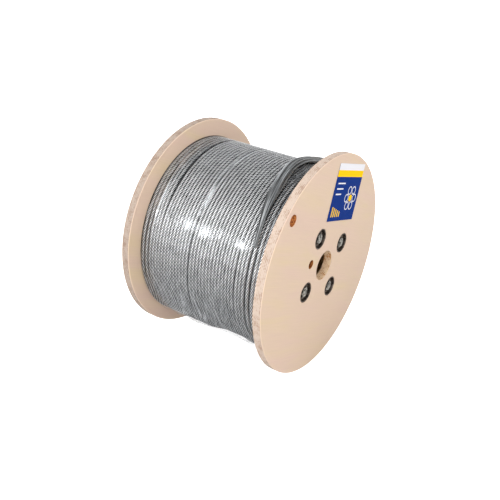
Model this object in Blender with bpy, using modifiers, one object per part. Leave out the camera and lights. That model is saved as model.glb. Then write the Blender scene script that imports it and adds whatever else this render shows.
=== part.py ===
"""A plywood reel wound with galvanised wire rope and wrapped in clear film.

The reel lies on the rims of its two flanges, with its axis along X. The origin
is on the axis, midway between the flanges. Y points away from the side where
the label's flange is seen with its drive hole on the left, and Z is up. All
sizes are in metres.
"""

import math

import bmesh
import bpy
from mathutils import Matrix, Vector

# The reel
FLANGE_DIAMETER = 0.380
FLANGE_THICKNESS = 0.015
TRAVERSE = 0.245
ARRIS = 0.0012
BARREL_DIAMETER = 0.203
BARREL_WALL = 0.009
BARREL_GROOVE_DEPTH = 0.003
SPINDLE_BORE = 0.051

# Holes through the flanges, measured from the reel's axis
DRIVE_HOLE_DIAMETER = 0.015
DRIVE_HOLE_RADIUS = 0.0512
DRIVE_HOLE_ANGLE = math.radians(150)
ROPE_HOLE_DIAMETER = 0.019
ROPE_HOLE_RADIUS = 0.1700
ROPE_HOLE_ANGLE = math.radians(127.8)

# The four through bolts, with the angles that they were drilled at by eye
BOLT_CIRCLE_RADIUS = 0.0612
BOLT_ANGLES = tuple(math.radians(a) for a in (13.0, 105.5, 200.5, 294.0))
BOLT_DIAMETER = 0.0095
HEX_ACROSS_FLATS = 0.0160
HEX_HEIGHT = 0.0060
BOLT_END_STAND = 0.0010
CUP_DIAMETER = 0.0345
CUP_DEPTH = 0.0095
CUP_SHEET = 0.0015

# The rope and the turns of its outer layer. A groove's depth and the flat of a
# crest are shares of the rope's radius, and the rise of a layer is a share of
# its diameter.
ROPE_DIAMETER = 0.00635
WINDING_DIAMETER = 0.320
TURN_GROOVE = 0.85
CREST_FLAT = 0.9
LAYER_RISE = 0.93
# The gaps between turns, as they lie over the top of the reel: the turn that
# each gap comes before, counted from the far flange, and its width
OPEN_TURNS = {4: 0.0025, 5: 0.0035, 15: 0.0013}

# The stretch film and its gathered end
FILM_THICKNESS = 0.0010
FILM_END_MARGIN = 0.0015
TAIL_DIAMETER = 0.0110
TAIL_SINK = 0.0007
# The tail's route on the film: distance along the axis, then angle up from the
# front, as laid by hand
TAIL_ROUTE = (
    (0.1050, 138),
    (0.0930, 126),
    (0.0800, 114),
    (0.0720, 102),
    (0.0710, 90),
    (0.0750, 78),
    (0.0800, 66),
    (0.0840, 54),
    (0.0880, 43),
    (0.0905, 33),
)

# The label
LABEL_WIDTH = 0.098
LABEL_HEIGHT = 0.096
LABEL_THICKNESS = 0.0003
LABEL_CENTRE = (0.0626, 0.1095)
LABEL_TILT = math.radians(-22.5)

# Space left where two pieces touch, and round the bolts
TOUCH = 0.0003

REEL_SIDES = 60
WINDING_SIDES = 48
SMALL_SIDES = 20
HEX_SIDES = 6
TAIL_STEPS_PER_POINT = 2
CUTTER_OVERRUN = 0.005
MERGE_DISTANCE = 0.00005
SHARP_ANGLE = math.radians(35)

INNER_FACE = TRAVERSE / 2
OUTER_FACE = INNER_FACE + FLANGE_THICKNESS
CUP_FLOOR = OUTER_FACE - CUP_DEPTH + CUP_SHEET
HEX_RADIUS = HEX_ACROSS_FLATS / 2 / math.cos(math.pi / HEX_SIDES)


def srgb(hex_colour):
    """The linear colour, with alpha, of an sRGB hex code."""
    channels = [int(hex_colour[i : i + 2], 16) / 255 for i in (0, 2, 4)]
    linear = [c / 12.92 if c <= 0.04045 else ((c + 0.055) / 1.055) ** 2.4 for c in channels]
    return (*linear, 1.0)


def make_material(name, hex_colour, roughness, metallic=0.0, alpha=1.0):
    material = bpy.data.materials.new(name)
    material.use_nodes = True
    shader = material.node_tree.nodes["Principled BSDF"]
    shader.inputs["Base Color"].default_value = srgb(hex_colour)
    shader.inputs["Roughness"].default_value = roughness
    shader.inputs["Metallic"].default_value = metallic
    shader.inputs["Alpha"].default_value = alpha
    material.diffuse_color = (*srgb(hex_colour)[:3], alpha)
    return material


def make_collection(name, hidden=False):
    collection = bpy.data.collections.new(name)
    collection.hide_render = hidden
    bpy.context.scene.collection.children.link(collection)
    return collection


def add_object(name, data, collection, material=None):
    piece = bpy.data.objects.new(name, data)
    collection.objects.link(piece)
    if material:
        data.materials.append(material)
    return piece


def hide_as_helper(helper):
    helper.hide_render = True
    helper.display_type = "WIRE"


def along_axis(sides, turn=0.0):
    """Lays a shape made about its own Z along X, with one of its flats facing down."""
    return Matrix.Rotation(math.pi / 2, 4, "Y") @ Matrix.Rotation(math.pi / sides + turn, 4, "Z")


def turned(name, profile, sides, collection, material=None):
    """A closed profile of (radius, height) turned round the reel's axis."""
    mesh = bpy.data.meshes.new(name)
    points = [(radius, 0, height) for radius, height in profile]
    edges = [(i, (i + 1) % len(points)) for i in range(len(points))]
    mesh.from_pydata(points, edges, [])
    piece = add_object(name, mesh, collection, material)
    piece.matrix_world = along_axis(sides)
    screw = piece.modifiers.new("turn", "SCREW")
    screw.steps = sides
    screw.render_steps = sides
    screw.merge_threshold = MERGE_DISTANCE
    screw.use_merge_vertices = True
    return baked(piece, collection, material)


def baked(piece, collection, material=None):
    """The same object with its modifiers made part of its mesh, and shaded smooth."""
    bpy.context.view_layer.update()
    graph = bpy.context.evaluated_depsgraph_get()
    mesh = bpy.data.meshes.new_from_object(piece.evaluated_get(graph))
    name = piece.name
    place = piece.matrix_world.copy()
    bpy.data.objects.remove(piece)
    mesh.name = name
    mesh.materials.clear()
    made = add_object(name, mesh, collection, material)
    made.matrix_world = place
    shape = bmesh.new()
    shape.from_mesh(mesh)
    bmesh.ops.remove_doubles(shape, verts=shape.verts, dist=MERGE_DISTANCE)
    shape.to_mesh(mesh)
    shape.free()
    shade_round(mesh)
    return made


def shade_round(mesh):
    """Smooth on round sides, and sharp where two faces meet at a real edge."""
    mesh.shade_smooth()
    mesh.set_sharp_from_angle(angle=SHARP_ANGLE)


def prism(name, radius, low, high, sides, collection, material=None, turn=0.0):
    """A straight prism or cylinder on the axis from x = low to x = high."""
    mesh = bpy.data.meshes.new(name)
    shape = bmesh.new()
    bmesh.ops.create_cone(
        shape,
        cap_ends=True,
        segments=sides,
        radius1=radius,
        radius2=radius,
        depth=high - low,
    )
    shape.to_mesh(mesh)
    shape.free()
    shade_round(mesh)
    piece = add_object(name, mesh, collection, material)
    piece.matrix_world = Matrix.Translation(((low + high) / 2, 0, 0)) @ along_axis(sides, turn)
    return piece


def shift_from_axis(piece, radius, angle):
    """Moves a piece off the axis, at an angle from +Y towards +Z."""
    step = Vector((0, radius * math.cos(angle), radius * math.sin(angle)))
    piece.matrix_world = Matrix.Translation(step) @ piece.matrix_world
    return piece


def combine(piece, other, operation):
    boolean = piece.modifiers.new(f"{operation.lower()} {other.name}", "BOOLEAN")
    boolean.operation = operation
    boolean.object = other
    boolean.solver = "EXACT"
    return boolean


def hole_cutter(name, diameter, side, radius, angle, helpers):
    """Cuts right through the flange on that side of the reel."""
    ends = sorted((side * (INNER_FACE - CUTTER_OVERRUN), side * (OUTER_FACE + CUTTER_OVERRUN)))
    cutter = prism(name, diameter / 2, *ends, SMALL_SIDES, helpers)
    hide_as_helper(cutter)
    return shift_from_axis(cutter, radius, angle)


def recess_cutter(name, side, angle, helpers):
    """Cuts the pocket that a cup washer sits in."""
    floor = OUTER_FACE - CUP_DEPTH - TOUCH
    ends = sorted((side * floor, side * (OUTER_FACE + CUTTER_OVERRUN)))
    cutter = prism(name, CUP_DIAMETER / 2 + TOUCH, *ends, SMALL_SIDES, helpers)
    hide_as_helper(cutter)
    return shift_from_axis(cutter, BOLT_CIRCLE_RADIUS, angle)


def flange_profile(side):
    """The disc's section: rounded arrises, the bore and the barrel's groove."""
    rim = FLANGE_DIAMETER / 2
    bore = SPINDLE_BORE / 2
    groove_out = BARREL_DIAMETER / 2 + TOUCH
    groove_in = BARREL_DIAMETER / 2 - BARREL_WALL - TOUCH
    groove_floor = INNER_FACE + BARREL_GROOVE_DEPTH
    outline = [
        (bore, OUTER_FACE),
        (rim - ARRIS, OUTER_FACE),
        (rim, OUTER_FACE - ARRIS),
        (rim, INNER_FACE + ARRIS),
        (rim - ARRIS, INNER_FACE),
        (groove_out, INNER_FACE),
        (groove_out, groove_floor),
        (groove_in, groove_floor),
        (groove_in, INNER_FACE),
        (bore, INNER_FACE),
    ]
    if side > 0:
        return outline
    return [(radius, -height) for radius, height in reversed(outline)]


def make_flange(name, side, wood, parts, helpers):
    flange = turned(name, flange_profile(side), REEL_SIDES, parts, wood)
    drive = hole_cutter(
        f"{name}_drive_hole", DRIVE_HOLE_DIAMETER, side, DRIVE_HOLE_RADIUS, DRIVE_HOLE_ANGLE, helpers
    )
    cutters = [drive]
    if side > 0:
        cutters.append(
            hole_cutter(
                f"{name}_rope_hole", ROPE_HOLE_DIAMETER, side, ROPE_HOLE_RADIUS, ROPE_HOLE_ANGLE, helpers
            )
        )
    for number, angle in enumerate(BOLT_ANGLES, 1):
        cutters.append(
            hole_cutter(
                f"{name}_bolt_hole_{number}",
                BOLT_DIAMETER + 2 * TOUCH,
                side,
                BOLT_CIRCLE_RADIUS,
                angle,
                helpers,
            )
        )
        cutters.append(recess_cutter(f"{name}_recess_{number}", side, angle, helpers))
    for cutter in cutters:
        combine(flange, cutter, "DIFFERENCE")
    return flange


def make_barrel(board, parts):
    outer = BARREL_DIAMETER / 2
    inner = outer - BARREL_WALL
    end = INNER_FACE + BARREL_GROOVE_DEPTH - TOUCH
    profile = [(outer, end), (outer, -end), (inner, -end), (inner, end)]
    return turned("barrel_tube", profile, REEL_SIDES, parts, board)


def make_winding(steel, parts):
    """All layers of the rope as one turned solid, with a crest for each outer turn."""
    crest = WINDING_DIAMETER / 2
    valley = crest - TURN_GROOVE * ROPE_DIAMETER / 2
    layer_below = crest - LAYER_RISE * ROPE_DIAMETER
    flat = CREST_FLAT * ROPE_DIAMETER / 2
    inside = (BARREL_DIAMETER / 2 + TOUCH) / math.cos(math.pi / WINDING_SIDES)
    end = INNER_FACE - TOUCH
    room = 2 * end - sum(OPEN_TURNS.values())
    turns = int(room / ROPE_DIAMETER)
    pitch = room / turns
    place = -end
    outside = [(valley, place)]
    for turn in range(turns):
        gap = OPEN_TURNS.get(turn, 0.0)
        if gap:
            outside += [(layer_below, place), (layer_below, place + gap), (valley, place + gap)]
            place += gap
        middle = place + pitch / 2
        place += pitch
        outside += [(crest, middle - flat / 2), (crest, middle + flat / 2), (valley, place)]
    profile = [*reversed(outside), (inside, -end), (inside, end)]
    return turned("wire_rope_winding", profile, WINDING_SIDES, parts, steel)


def make_film(film, parts, helpers):
    """The clear wrap round the winding, joined to its gathered end."""
    inner = WINDING_DIAMETER / 2 + TOUCH
    outer = inner + FILM_THICKNESS
    end = INNER_FACE - FILM_END_MARGIN
    profile = [(outer, end), (outer, -end), (inner, -end), (inner, end)]
    wrap = turned("stretch_film", profile, WINDING_SIDES, parts, film)
    tail = make_tail(outer - TAIL_SINK + TAIL_DIAMETER / 2, helpers)
    combine(wrap, tail, "UNION")
    return wrap


def spline_point(points, place):
    """A Catmull-Rom point on a route; place counts route points from its start."""
    index = min(int(place), len(points) - 2)
    t = place - index
    before = points[max(index - 1, 0)]
    start, stop = points[index], points[index + 1]
    after = points[min(index + 2, len(points) - 1)]
    return (
        start
        + (stop - before) * (t / 2)
        + (before * 2 - start * 5 + stop * 4 - after) * (t * t / 2)
        + (start * 3 - before - stop * 3 + after) * (t**3 / 2)
    )


def on_cylinder(along, angle, radius):
    """A point on the winding: the angle runs from the front (-Y) up over the top."""
    return Vector((along, -radius * math.cos(angle), radius * math.sin(angle)))


def make_tail(radius, helpers):
    """The film's gathered end, laid over the winding from the back to the front."""
    route = [Vector((along, math.radians(angle))) for along, angle in TAIL_ROUTE]
    count = (len(route) - 1) * TAIL_STEPS_PER_POINT + 1
    places = [i / TAIL_STEPS_PER_POINT for i in range(count)]
    line = [on_cylinder(*spline_point(route, place), radius) for place in places]
    curve = bpy.data.curves.new("film_tail", "CURVE")
    curve.dimensions = "3D"
    curve.bevel_depth = TAIL_DIAMETER / 2
    curve.bevel_resolution = 2
    curve.use_fill_caps = True
    spline = curve.splines.new("POLY")
    spline.points.add(count - 1)
    for point, place, where in zip(spline.points, places, line):
        point.co = (*where, 1)
        point.radius = tail_swell(place / places[-1])
    tail = baked(add_object("film_tail", curve, helpers), helpers)
    hide_as_helper(tail)
    return tail


def tail_swell(share):
    """Full width over the top and narrow at the front, where the film lies flat."""
    return 1.0 - 0.45 * max(0.0, (share - 0.5) / 0.5)


def make_cup(name, side, angle, steel, parts):
    """A pressed steel cup washer, its rim level with the flange's face."""
    outer = CUP_DIAMETER / 2
    hole = BOLT_DIAMETER / 2 + TOUCH
    outline = [
        (outer, OUTER_FACE),
        (outer, OUTER_FACE - CUP_DEPTH),
        (hole, OUTER_FACE - CUP_DEPTH),
        (hole, CUP_FLOOR),
        (outer - CUP_SHEET, CUP_FLOOR),
        (outer - CUP_SHEET, OUTER_FACE),
    ]
    if side < 0:
        outline = [(radius, -height) for radius, height in reversed(outline)]
    cup = turned(name, outline, SMALL_SIDES, parts, steel)
    return shift_from_axis(cup, BOLT_CIRCLE_RADIUS, angle)


def make_bolt(name, angle, steel, parts, helpers):
    """A hex bolt from the far flange's cup to the near one's."""
    seat = CUP_FLOOR + TOUCH
    shank_end = seat + HEX_HEIGHT + BOLT_END_STAND
    head_overlap = HEX_HEIGHT / 2
    bolt = prism(name, BOLT_DIAMETER / 2, -seat - head_overlap, shank_end, SMALL_SIDES, parts, steel)
    head = prism(f"{name}_head", HEX_RADIUS, -seat - HEX_HEIGHT, -seat, HEX_SIDES, helpers, turn=angle)
    hide_as_helper(head)
    shift_from_axis(head, BOLT_CIRCLE_RADIUS, angle)
    combine(bolt, head, "UNION")
    return shift_from_axis(bolt, BOLT_CIRCLE_RADIUS, angle)


def make_nut(name, angle, steel, parts, helpers):
    seat = CUP_FLOOR + TOUCH
    nut = prism(name, HEX_RADIUS, seat, seat + HEX_HEIGHT, HEX_SIDES, parts, steel, turn=angle)
    ends = (seat - CUTTER_OVERRUN, seat + HEX_HEIGHT + CUTTER_OVERRUN)
    hole = prism(f"{name}_hole", BOLT_DIAMETER / 2 + TOUCH, *ends, SMALL_SIDES, helpers)
    hide_as_helper(hole)
    shift_from_axis(hole, BOLT_CIRCLE_RADIUS, angle)
    combine(nut, hole, "DIFFERENCE")
    return shift_from_axis(nut, BOLT_CIRCLE_RADIUS, angle)


def make_label(paper, parts):
    """A printed paper label stuck to the near flange's outer face."""
    mesh = bpy.data.meshes.new("paper_label")
    shape = bmesh.new()
    size = (LABEL_THICKNESS, LABEL_WIDTH, LABEL_HEIGHT)
    bmesh.ops.create_cube(shape, size=1.0, matrix=Matrix.Diagonal((*size, 1)))
    shape.to_mesh(mesh)
    shape.free()
    label = add_object("paper_label", mesh, parts, paper)
    label.location = (OUTER_FACE + TOUCH + LABEL_THICKNESS / 2, *LABEL_CENTRE)
    label.rotation_euler = (LABEL_TILT, 0, 0)
    return label


def build():
    for leftover in list(bpy.data.objects):
        bpy.data.objects.remove(leftover)
    parts = make_collection("wire_rope_reel")
    helpers = make_collection("cutters", hidden=True)

    wood = make_material("birch plywood", "DEC8B2", 0.75)
    board = make_material("kraft tube board", "B08D62", 0.9)
    rope = make_material("galvanised rope wire", "A8ABAD", 0.35, metallic=0.9)
    film = make_material("clear stretch film", "EEF1F3", 0.15, alpha=0.25)
    dark = make_material("blackened pressed steel", "4A4542", 0.45, metallic=0.8)
    zinc = make_material("zinc plated steel", "8E8B86", 0.35, metallic=0.9)
    paper = make_material("printed label paper", "123A8C", 0.4)

    for name, side in (("flange_far", -1), ("flange_near", 1)):
        make_flange(name, side, wood, parts, helpers)
        for number, angle in enumerate(BOLT_ANGLES, 1):
            end = name.removeprefix("flange_")
            make_cup(f"cup_washer_{end}_{number}", side, angle, dark, parts)
    make_barrel(board, parts)
    make_winding(rope, parts)
    make_film(film, parts, helpers)
    for number, angle in enumerate(BOLT_ANGLES, 1):
        make_bolt(f"through_bolt_{number}", angle, zinc, parts, helpers)
        make_nut(f"hex_nut_{number}", angle, zinc, parts, helpers)
    make_label(paper, parts)


if __name__ == "__main__":
    build()
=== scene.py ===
"""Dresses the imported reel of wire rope: plywood, rope, film, fittings and label.

Lengths are in metres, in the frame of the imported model: X runs along the
reel's axis to the labelled flange, and Z is up. An angle round the winding
starts at the front (-Y) and runs up over the top.
"""

import math

import bmesh
import bpy
import numpy as np
from bpy.props import FloatProperty, FloatVectorProperty, IntProperty, PointerProperty
from mathutils import Matrix, Vector, noise


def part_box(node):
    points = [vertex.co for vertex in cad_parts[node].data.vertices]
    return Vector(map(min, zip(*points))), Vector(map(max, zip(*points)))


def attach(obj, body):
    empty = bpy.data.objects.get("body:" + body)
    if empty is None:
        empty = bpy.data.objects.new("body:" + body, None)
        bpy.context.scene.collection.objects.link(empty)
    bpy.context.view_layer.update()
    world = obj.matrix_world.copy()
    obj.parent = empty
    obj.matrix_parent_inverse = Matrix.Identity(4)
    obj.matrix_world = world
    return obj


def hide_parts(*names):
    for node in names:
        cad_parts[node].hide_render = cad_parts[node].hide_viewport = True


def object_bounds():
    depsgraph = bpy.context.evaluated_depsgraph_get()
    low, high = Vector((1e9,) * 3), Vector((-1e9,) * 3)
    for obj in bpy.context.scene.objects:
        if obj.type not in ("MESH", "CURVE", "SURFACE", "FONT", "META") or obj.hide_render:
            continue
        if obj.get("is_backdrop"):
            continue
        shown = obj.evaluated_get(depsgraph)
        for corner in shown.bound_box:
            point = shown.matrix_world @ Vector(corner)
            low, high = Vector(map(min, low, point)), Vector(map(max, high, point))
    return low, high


bl_info = {
    "name": "Wire rope reel",
    "version": (1, 0, 0),
    "blender": (4, 5, 0),
    "location": "View3D > Sidebar > Reel",
    "description": "Builds a plywood reel of galvanised wire rope wrapped in stretch film",
    "category": "Object",
}

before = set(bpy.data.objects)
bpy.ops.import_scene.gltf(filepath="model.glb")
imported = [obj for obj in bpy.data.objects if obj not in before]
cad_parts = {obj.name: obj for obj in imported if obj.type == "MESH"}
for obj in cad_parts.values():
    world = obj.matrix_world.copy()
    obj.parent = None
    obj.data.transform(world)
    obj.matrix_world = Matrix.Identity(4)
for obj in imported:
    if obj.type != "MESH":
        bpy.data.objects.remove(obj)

BODY = "root"
MM = 0.001

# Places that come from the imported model
FLANGE_LOW, FLANGE_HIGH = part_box("flange_near")
RIM = FLANGE_HIGH.z
INNER_FACE = FLANGE_LOW.x
OUTER_FACE = FLANGE_HIGH.x
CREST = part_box("wire_rope_winding")[1].z
BARREL_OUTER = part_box("barrel_tube")[1].z
BARREL_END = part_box("barrel_tube")[1].x
FILM_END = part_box("stretch_film")[1].x
LABEL_LOW, LABEL_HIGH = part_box("paper_label")
BOLT_NUMBERS = (1, 2, 3, 4)

# Points closer than this are one, and edges up to this angle are smooth
MERGE = 1e-6
SMOOTH_LIMIT = math.radians(35)
# Clearance between pieces that fit together, and the barrel's wall
FIT = 0.3 * MM
BARREL_WALL = 9 * MM

# The rope's outer layer: where its first turn starts, how far off the far flange, and
# the last share of each turn, in which the rope crosses to the next
TURNS = 37
FIRST_ANGLE = math.radians(290)
START_GAP = 1.0 * MM
CROSSING_SHARE = 0.25
# Its end comes up from the layer below: how deep it starts, as a share of the rope's
# diameter, and the share of a turn in which it rises
START_DEPTH = 0.9
START_RISE = 0.18
# Layers nest: their spacing as a share of the rope's diameter
LAYER_STEP = 0.93
# How unevenly the turns lie, how many times in a turn they rise and fall, and how far
# inside the winding's crest they are
UNEVEN = 0.12 * MM
UNEVEN_RATE = 3.1
INSET = 0.1 * MM
# A gap is the turn that it comes before and its width. The layer is pushed to the
# right over the top, between the angles of the push: the left gaps open there, the
# fanned turns each take a little slack there, and the right gaps open at the front
ALWAYS_OPEN = ((15, 2.0 * MM),)
OPEN_OVER_TOP = (
    (2, 1.2 * MM),
    (3, 0.8 * MM),
    (5, 3.6 * MM),
    (34, 1.0 * MM),
    (35, 1.0 * MM),
    (36, 1.0 * MM),
)
OPEN_IN_FRONT = ((1, 1.8 * MM), (2, 1.4 * MM), (29, 1.8 * MM), (32, 2.4 * MM), (33, 2.6 * MM))
FANNED_TURNS = (9, 29)
PUSH_RISE = (math.radians(20), math.radians(60))
PUSH_FALL = (math.radians(200), math.radians(260))
# The layer is made in pieces, each from one number of turns to another
ROPE_PIECES = ((-0.2, 9), (9, 18), (18, 27), (27, 36.75))
# Points on a strand's circle: angles in degrees, and depths from 0 on its crown to 1
# between two strands
LOBE_POINTS = (-60, 0, 60, 120)
LOBE_DEPTHS = (0.5, 0.0, 0.5, 1.0)
# Painted shade, with grease, darkens the valley between turns: all of it up to the first
# share of the rope's radius above its middle, and none past the second. It is painted
# stronger where the turns lie slack, over the top and below, than across the lit band at
# the front: angles in degrees and how much of it shows there
VALLEY_DEPTH = (0.3, 0.75)
VALLEY_ANGLES = (-40, -5, 10, 32, 60, 90)
VALLEY_SHOWS = (0.35, 0.2, 0.0, 0.1, 0.8, 1.0)
# Strands passed in one turn of the reel, at some of its turns
LAY_TURNS = (0, 5, 8, 22, 26, 31, 33, 37)
LAY_MARKS = (153.97, 153.80, 153.68, 153.68, 153.33, 153.33, 153.62, 153.62)
# The outer turns are loose and hang out low at the front: places along the axis
# and how far they hang there, at the middle of the sag
SAG_MIDDLE = math.radians(-50)
SAG_SPREAD = math.radians(55)
SAG_PLACES = (-15 * MM, 12 * MM, 57 * MM, 72 * MM)
SAG_DEPTHS = (6.5 * MM, 1.5 * MM, 1.5 * MM, 4.5 * MM)

# Patches on the winding: place along the axis in millimetres, angle in degrees, half
# width, half height and strength. Shade patches are painted shade on the rope: the
# shadow of the film's gathered end, and darker patches elsewhere, most low at the front.
# Haze and glint patches make the film more opaque: white haze, and painted glints of the
# light near 33, 64 and -27 degrees.
SHADE_PATCHES = (
    (0, -32, 200, 24, 0.2),
    (48, -14, 20, 12, 0.3),
    (-92, 80, 10, 20, 0.15),
    (88, 90, 13, 34, 0.4),
    (95, 84, 10, 9, 0.6),
    (112, 62, 13, 30, 0.5),
)
# the first five are painted glints of the light, where the film is made more opaque; the rest are white
# haze
HAZE_AND_GLINT_PATCHES = (
    (-40, 33, 9, 3.0, 0.16),
    (-2, 32, 15, 2.6, 0.16),
    (70, 31, 8, 2.2, 0.14),
    (-23, 64, 4, 7.0, 0.2),
    (-5, -27, 9, 5.0, 0.35),
    (-48, -30, 14, 26.0, 0.3),
    (-112, 55, 11, 35.0, 0.3),
    (0, -45, 150, 35.0, 0.2),
)
# The film's free edge, folded over: distance along the axis in millimetres and angle
# in degrees, then its half width in millimetres and how white it is
FOLD_ROUTE = (
    (-22, 40),
    (-20, 50),
    (-19, 60),
    (-22, 67),
    (-19, 74),
    (-18.5, 90),
    (-17, 98),
    (-13, 105),
    (4, 107),
    (24, 108.5),
)
FOLD_WIDTH = 2.4
FOLD_HAZE = 0.4

# The film's gathered end, as laid by hand: distance along the axis in metres and
# angle in degrees
TAIL_ROUTE = (
    (0.1050, 138),
    (0.0930, 126),
    (0.0800, 114),
    (0.0720, 102),
    (0.0710, 90),
    (0.0750, 78),
    (0.0800, 66),
    (0.0840, 54),
    (0.0880, 43),
    (0.0905, 33),
)

# The label's print, in millimetres from its middle: a yellow band with white above it,
# bars given by their right end and lower edge, a rosette and a striped corner
PRINT_LEFT = -40
BAND_LOW = 26
BAND_HIGH = 37
BARS = ((-12, 14), (-16, 5), (-20, -4))
BAR_HEIGHT = 2.2
ROSETTE_MIDDLE = (20, -10)
ROSETTE_RADIUS = 15
ROSETTE_RINGS = 6
RING_RADIUS = 6.4
RING_WIDTH = 1.6
EYE_RADIUS = 6.0
STRIPES = 5
STRIPE_SPACING = 7
STRIPE_WIDTH = 3.4
STRIPE_LOW = -41
STRIPE_HIGH = -24
STRIPE_STEP = 2


def linear(hex_colour):
    """The linear colour, with alpha, of an sRGB hex code."""
    channels = [int(hex_colour[i : i + 2], 16) / 255 for i in (0, 2, 4)]
    return (*((c / 12.92 if c <= 0.04045 else ((c + 0.055) / 1.055) ** 2.4) for c in channels), 1.0)


def colour_property(name, description, hex_colour):
    return FloatVectorProperty(
        name=name,
        description=description,
        size=4,
        subtype="COLOR",
        min=0.0,
        max=1.0,
        default=linear(hex_colour),
    )


class ReelSizes(bpy.types.PropertyGroup):
    """The plywood flanges and their barrel."""

    arris: FloatProperty(
        name="Arris", description="Rounding of the discs' sawn edges", default=1.6 * MM, unit="LENGTH"
    )
    bore: FloatProperty(name="Bore", description="Spindle bore", default=51 * MM, unit="LENGTH")
    ply: FloatProperty(
        name="Ply", description="Thickness of one veneer", default=1.36 * MM, unit="LENGTH"
    )
    drive_hole: FloatProperty(
        name="Drive hole", description="Hole for a brake pin", default=15 * MM, unit="LENGTH"
    )
    rope_hole: FloatProperty(
        name="Rope hole", description="Hole for the rope's inner end", default=19 * MM, unit="LENGTH"
    )
    grain_turn: FloatProperty(
        name="Grain direction",
        description="Turn of the face veneer's grain from level",
        default=math.radians(-30),
        subtype="ANGLE",
    )
    veneer: colour_property("Veneer", "Sanded birch face", "DAC1A9")
    sawn: colour_property("Sawn side grain", "Plies sawn along", "B8A698")
    # painted light and shade: the bore's plies are a paler, lit copy of the plywood, and a small hole's
    # plies a darker, browner, shaded copy
    end_grain: colour_property("Sawn end grain", "Plies sawn across", "9C8270")
    bored: colour_property("Bored side grain", "Plies in the spindle's bore", "EBCFAC")
    drilled: colour_property("Drilled side grain", "Plies in a small hole's wall", "B8763C")
    drilled_end_shade: colour_property("Drilled end grain", "Plies darkened by the drill", "7C431C")


class RopeSizes(bpy.types.PropertyGroup):
    """The wire rope and how it is wound."""

    diameter: FloatProperty(
        name="Diameter", description="Rope diameter", default=6.25 * MM, unit="LENGTH"
    )
    pitch: FloatProperty(
        name="Pitch", description="Spacing of turns that touch", default=6.27 * MM, unit="LENGTH"
    )
    fan: FloatProperty(
        name="Fan", description="Slack added to each fanned turn", default=0.05 * MM, unit="LENGTH"
    )
    strands: IntProperty(name="Strands", description="Strands round the core", default=6)
    steps: IntProperty(name="Steps", description="Rings of points in one turn", default=350)
    wire: FloatProperty(
        name="Wire", description="Diameter of one wire", default=0.45 * MM, unit="LENGTH"
    )
    bright: colour_property("Wire crown", "Drawn galvanised wire", "F8F8F9")
    # painted shade, with grease: the grooves between strands are near black
    groove: colour_property("Wire groove", "Dull zinc and grease between strands", "08080A")


class FilmSizes(bpy.types.PropertyGroup):
    """The stretch film and its gathered end."""

    clearance: FloatProperty(
        name="Clearance", description="Least gap over the turns", default=0.25 * MM, unit="LENGTH"
    )
    thickness: FloatProperty(
        name="Thickness", description="Several wraps together", default=0.15 * MM, unit="LENGTH"
    )
    sag: FloatProperty(
        name="Sag", description="How far it hangs below the turns", default=6 * MM, unit="LENGTH"
    )
    tail_width: FloatProperty(
        name="Tail width", description="Width of the gathered end", default=17 * MM, unit="LENGTH"
    )
    tail_height: FloatProperty(
        name="Tail height", description="Height of the gathered end", default=10 * MM, unit="LENGTH"
    )
    veil: FloatProperty(
        name="Veil", description="Least opacity of the film", default=0.01, subtype="FACTOR"
    )
    tint: colour_property("Tint", "Clear polyethylene", "EEF2F6")


class FittingSizes(bpy.types.PropertyGroup):
    """The through bolts, nuts and cup washers."""

    bolt: FloatProperty(name="Bolt", description="Shank diameter", default=9.5 * MM, unit="LENGTH")
    thread: FloatProperty(
        name="Thread", description="Thread pitch", default=1.6 * MM, unit="LENGTH"
    )
    flats: FloatProperty(
        name="Across flats", description="Size of the hexagons", default=16 * MM, unit="LENGTH"
    )
    sheet: FloatProperty(
        name="Washer sheet", description="Pressed steel thickness", default=1.5 * MM, unit="LENGTH"
    )
    zinc: colour_property("Zinc plate", "Dull zinc plated steel", "A8A49C")
    black: colour_property("Washer black", "Blackened pressed steel", "7A7068")


class LabelSizes(bpy.types.PropertyGroup):
    """The printed paper label."""

    width: FloatProperty(name="Width", description="Across the label", default=98 * MM, unit="LENGTH")
    height: FloatProperty(name="Height", description="Up the label", default=96 * MM, unit="LENGTH")
    tilt: FloatProperty(
        name="Tilt", description="Turn from level", default=math.radians(-22.5), subtype="ANGLE"
    )
    blue: colour_property("Blue", "Printed field", "04307E")
    yellow: colour_property("Yellow", "Printed band", "FFCC00")
    white: colour_property("White", "Bare paper", "E9E8EC")


def smoothstep(low, high, value):
    share = np.clip((value - low) / (high - low), 0.0, 1.0)
    return share * share * (3 - 2 * share)


def patches(places, along, degrees):
    """How strongly patches show at places along the axis, in metres, and angles: arrays."""
    share = np.zeros_like(along)
    for middle, level, width, height, strength in places:
        across = (along / MM - middle) / width
        up = (degrees - level) / height
        share = np.maximum(share, strength * np.exp(-(across**2) - up**2))
    return share


def fold_share(along, degrees):
    """How strongly the film's folded edge shows: 1 on its route, arrays."""
    degree = math.radians(1) * CREST / MM
    nearest = np.full_like(along, np.inf)
    for start, stop in zip(FOLD_ROUTE, FOLD_ROUTE[1:]):
        run = np.array((stop[0] - start[0], (stop[1] - start[1]) * degree))
        off = np.stack([along / MM - start[0], (degrees - start[1]) * degree])
        share = np.clip(run @ off / (run @ run), 0.0, 1.0)
        nearest = np.minimum(nearest, np.hypot(*(off - run[:, None] * share)))
    return np.exp(-((nearest / FOLD_WIDTH) ** 2))


def hang(along, angle):
    """How far the loose outer turns stand off the winding, for numbers or arrays."""
    away = np.mod(angle - SAG_MIDDLE + math.pi, math.tau) - math.pi
    return np.interp(along, SAG_PLACES, SAG_DEPTHS) * np.exp(-((away / SAG_SPREAD) ** 2))


def arc(centre, radius, start, stop, count):
    """Points (radius, x) on an arc of a section, angles in degrees from outwards towards +X."""
    for i in range(count):
        angle = math.radians(start + (stop - start) * i / (count - 1))
        yield centre[0] + radius * math.cos(angle), centre[1] + radius * math.sin(angle)


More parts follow.
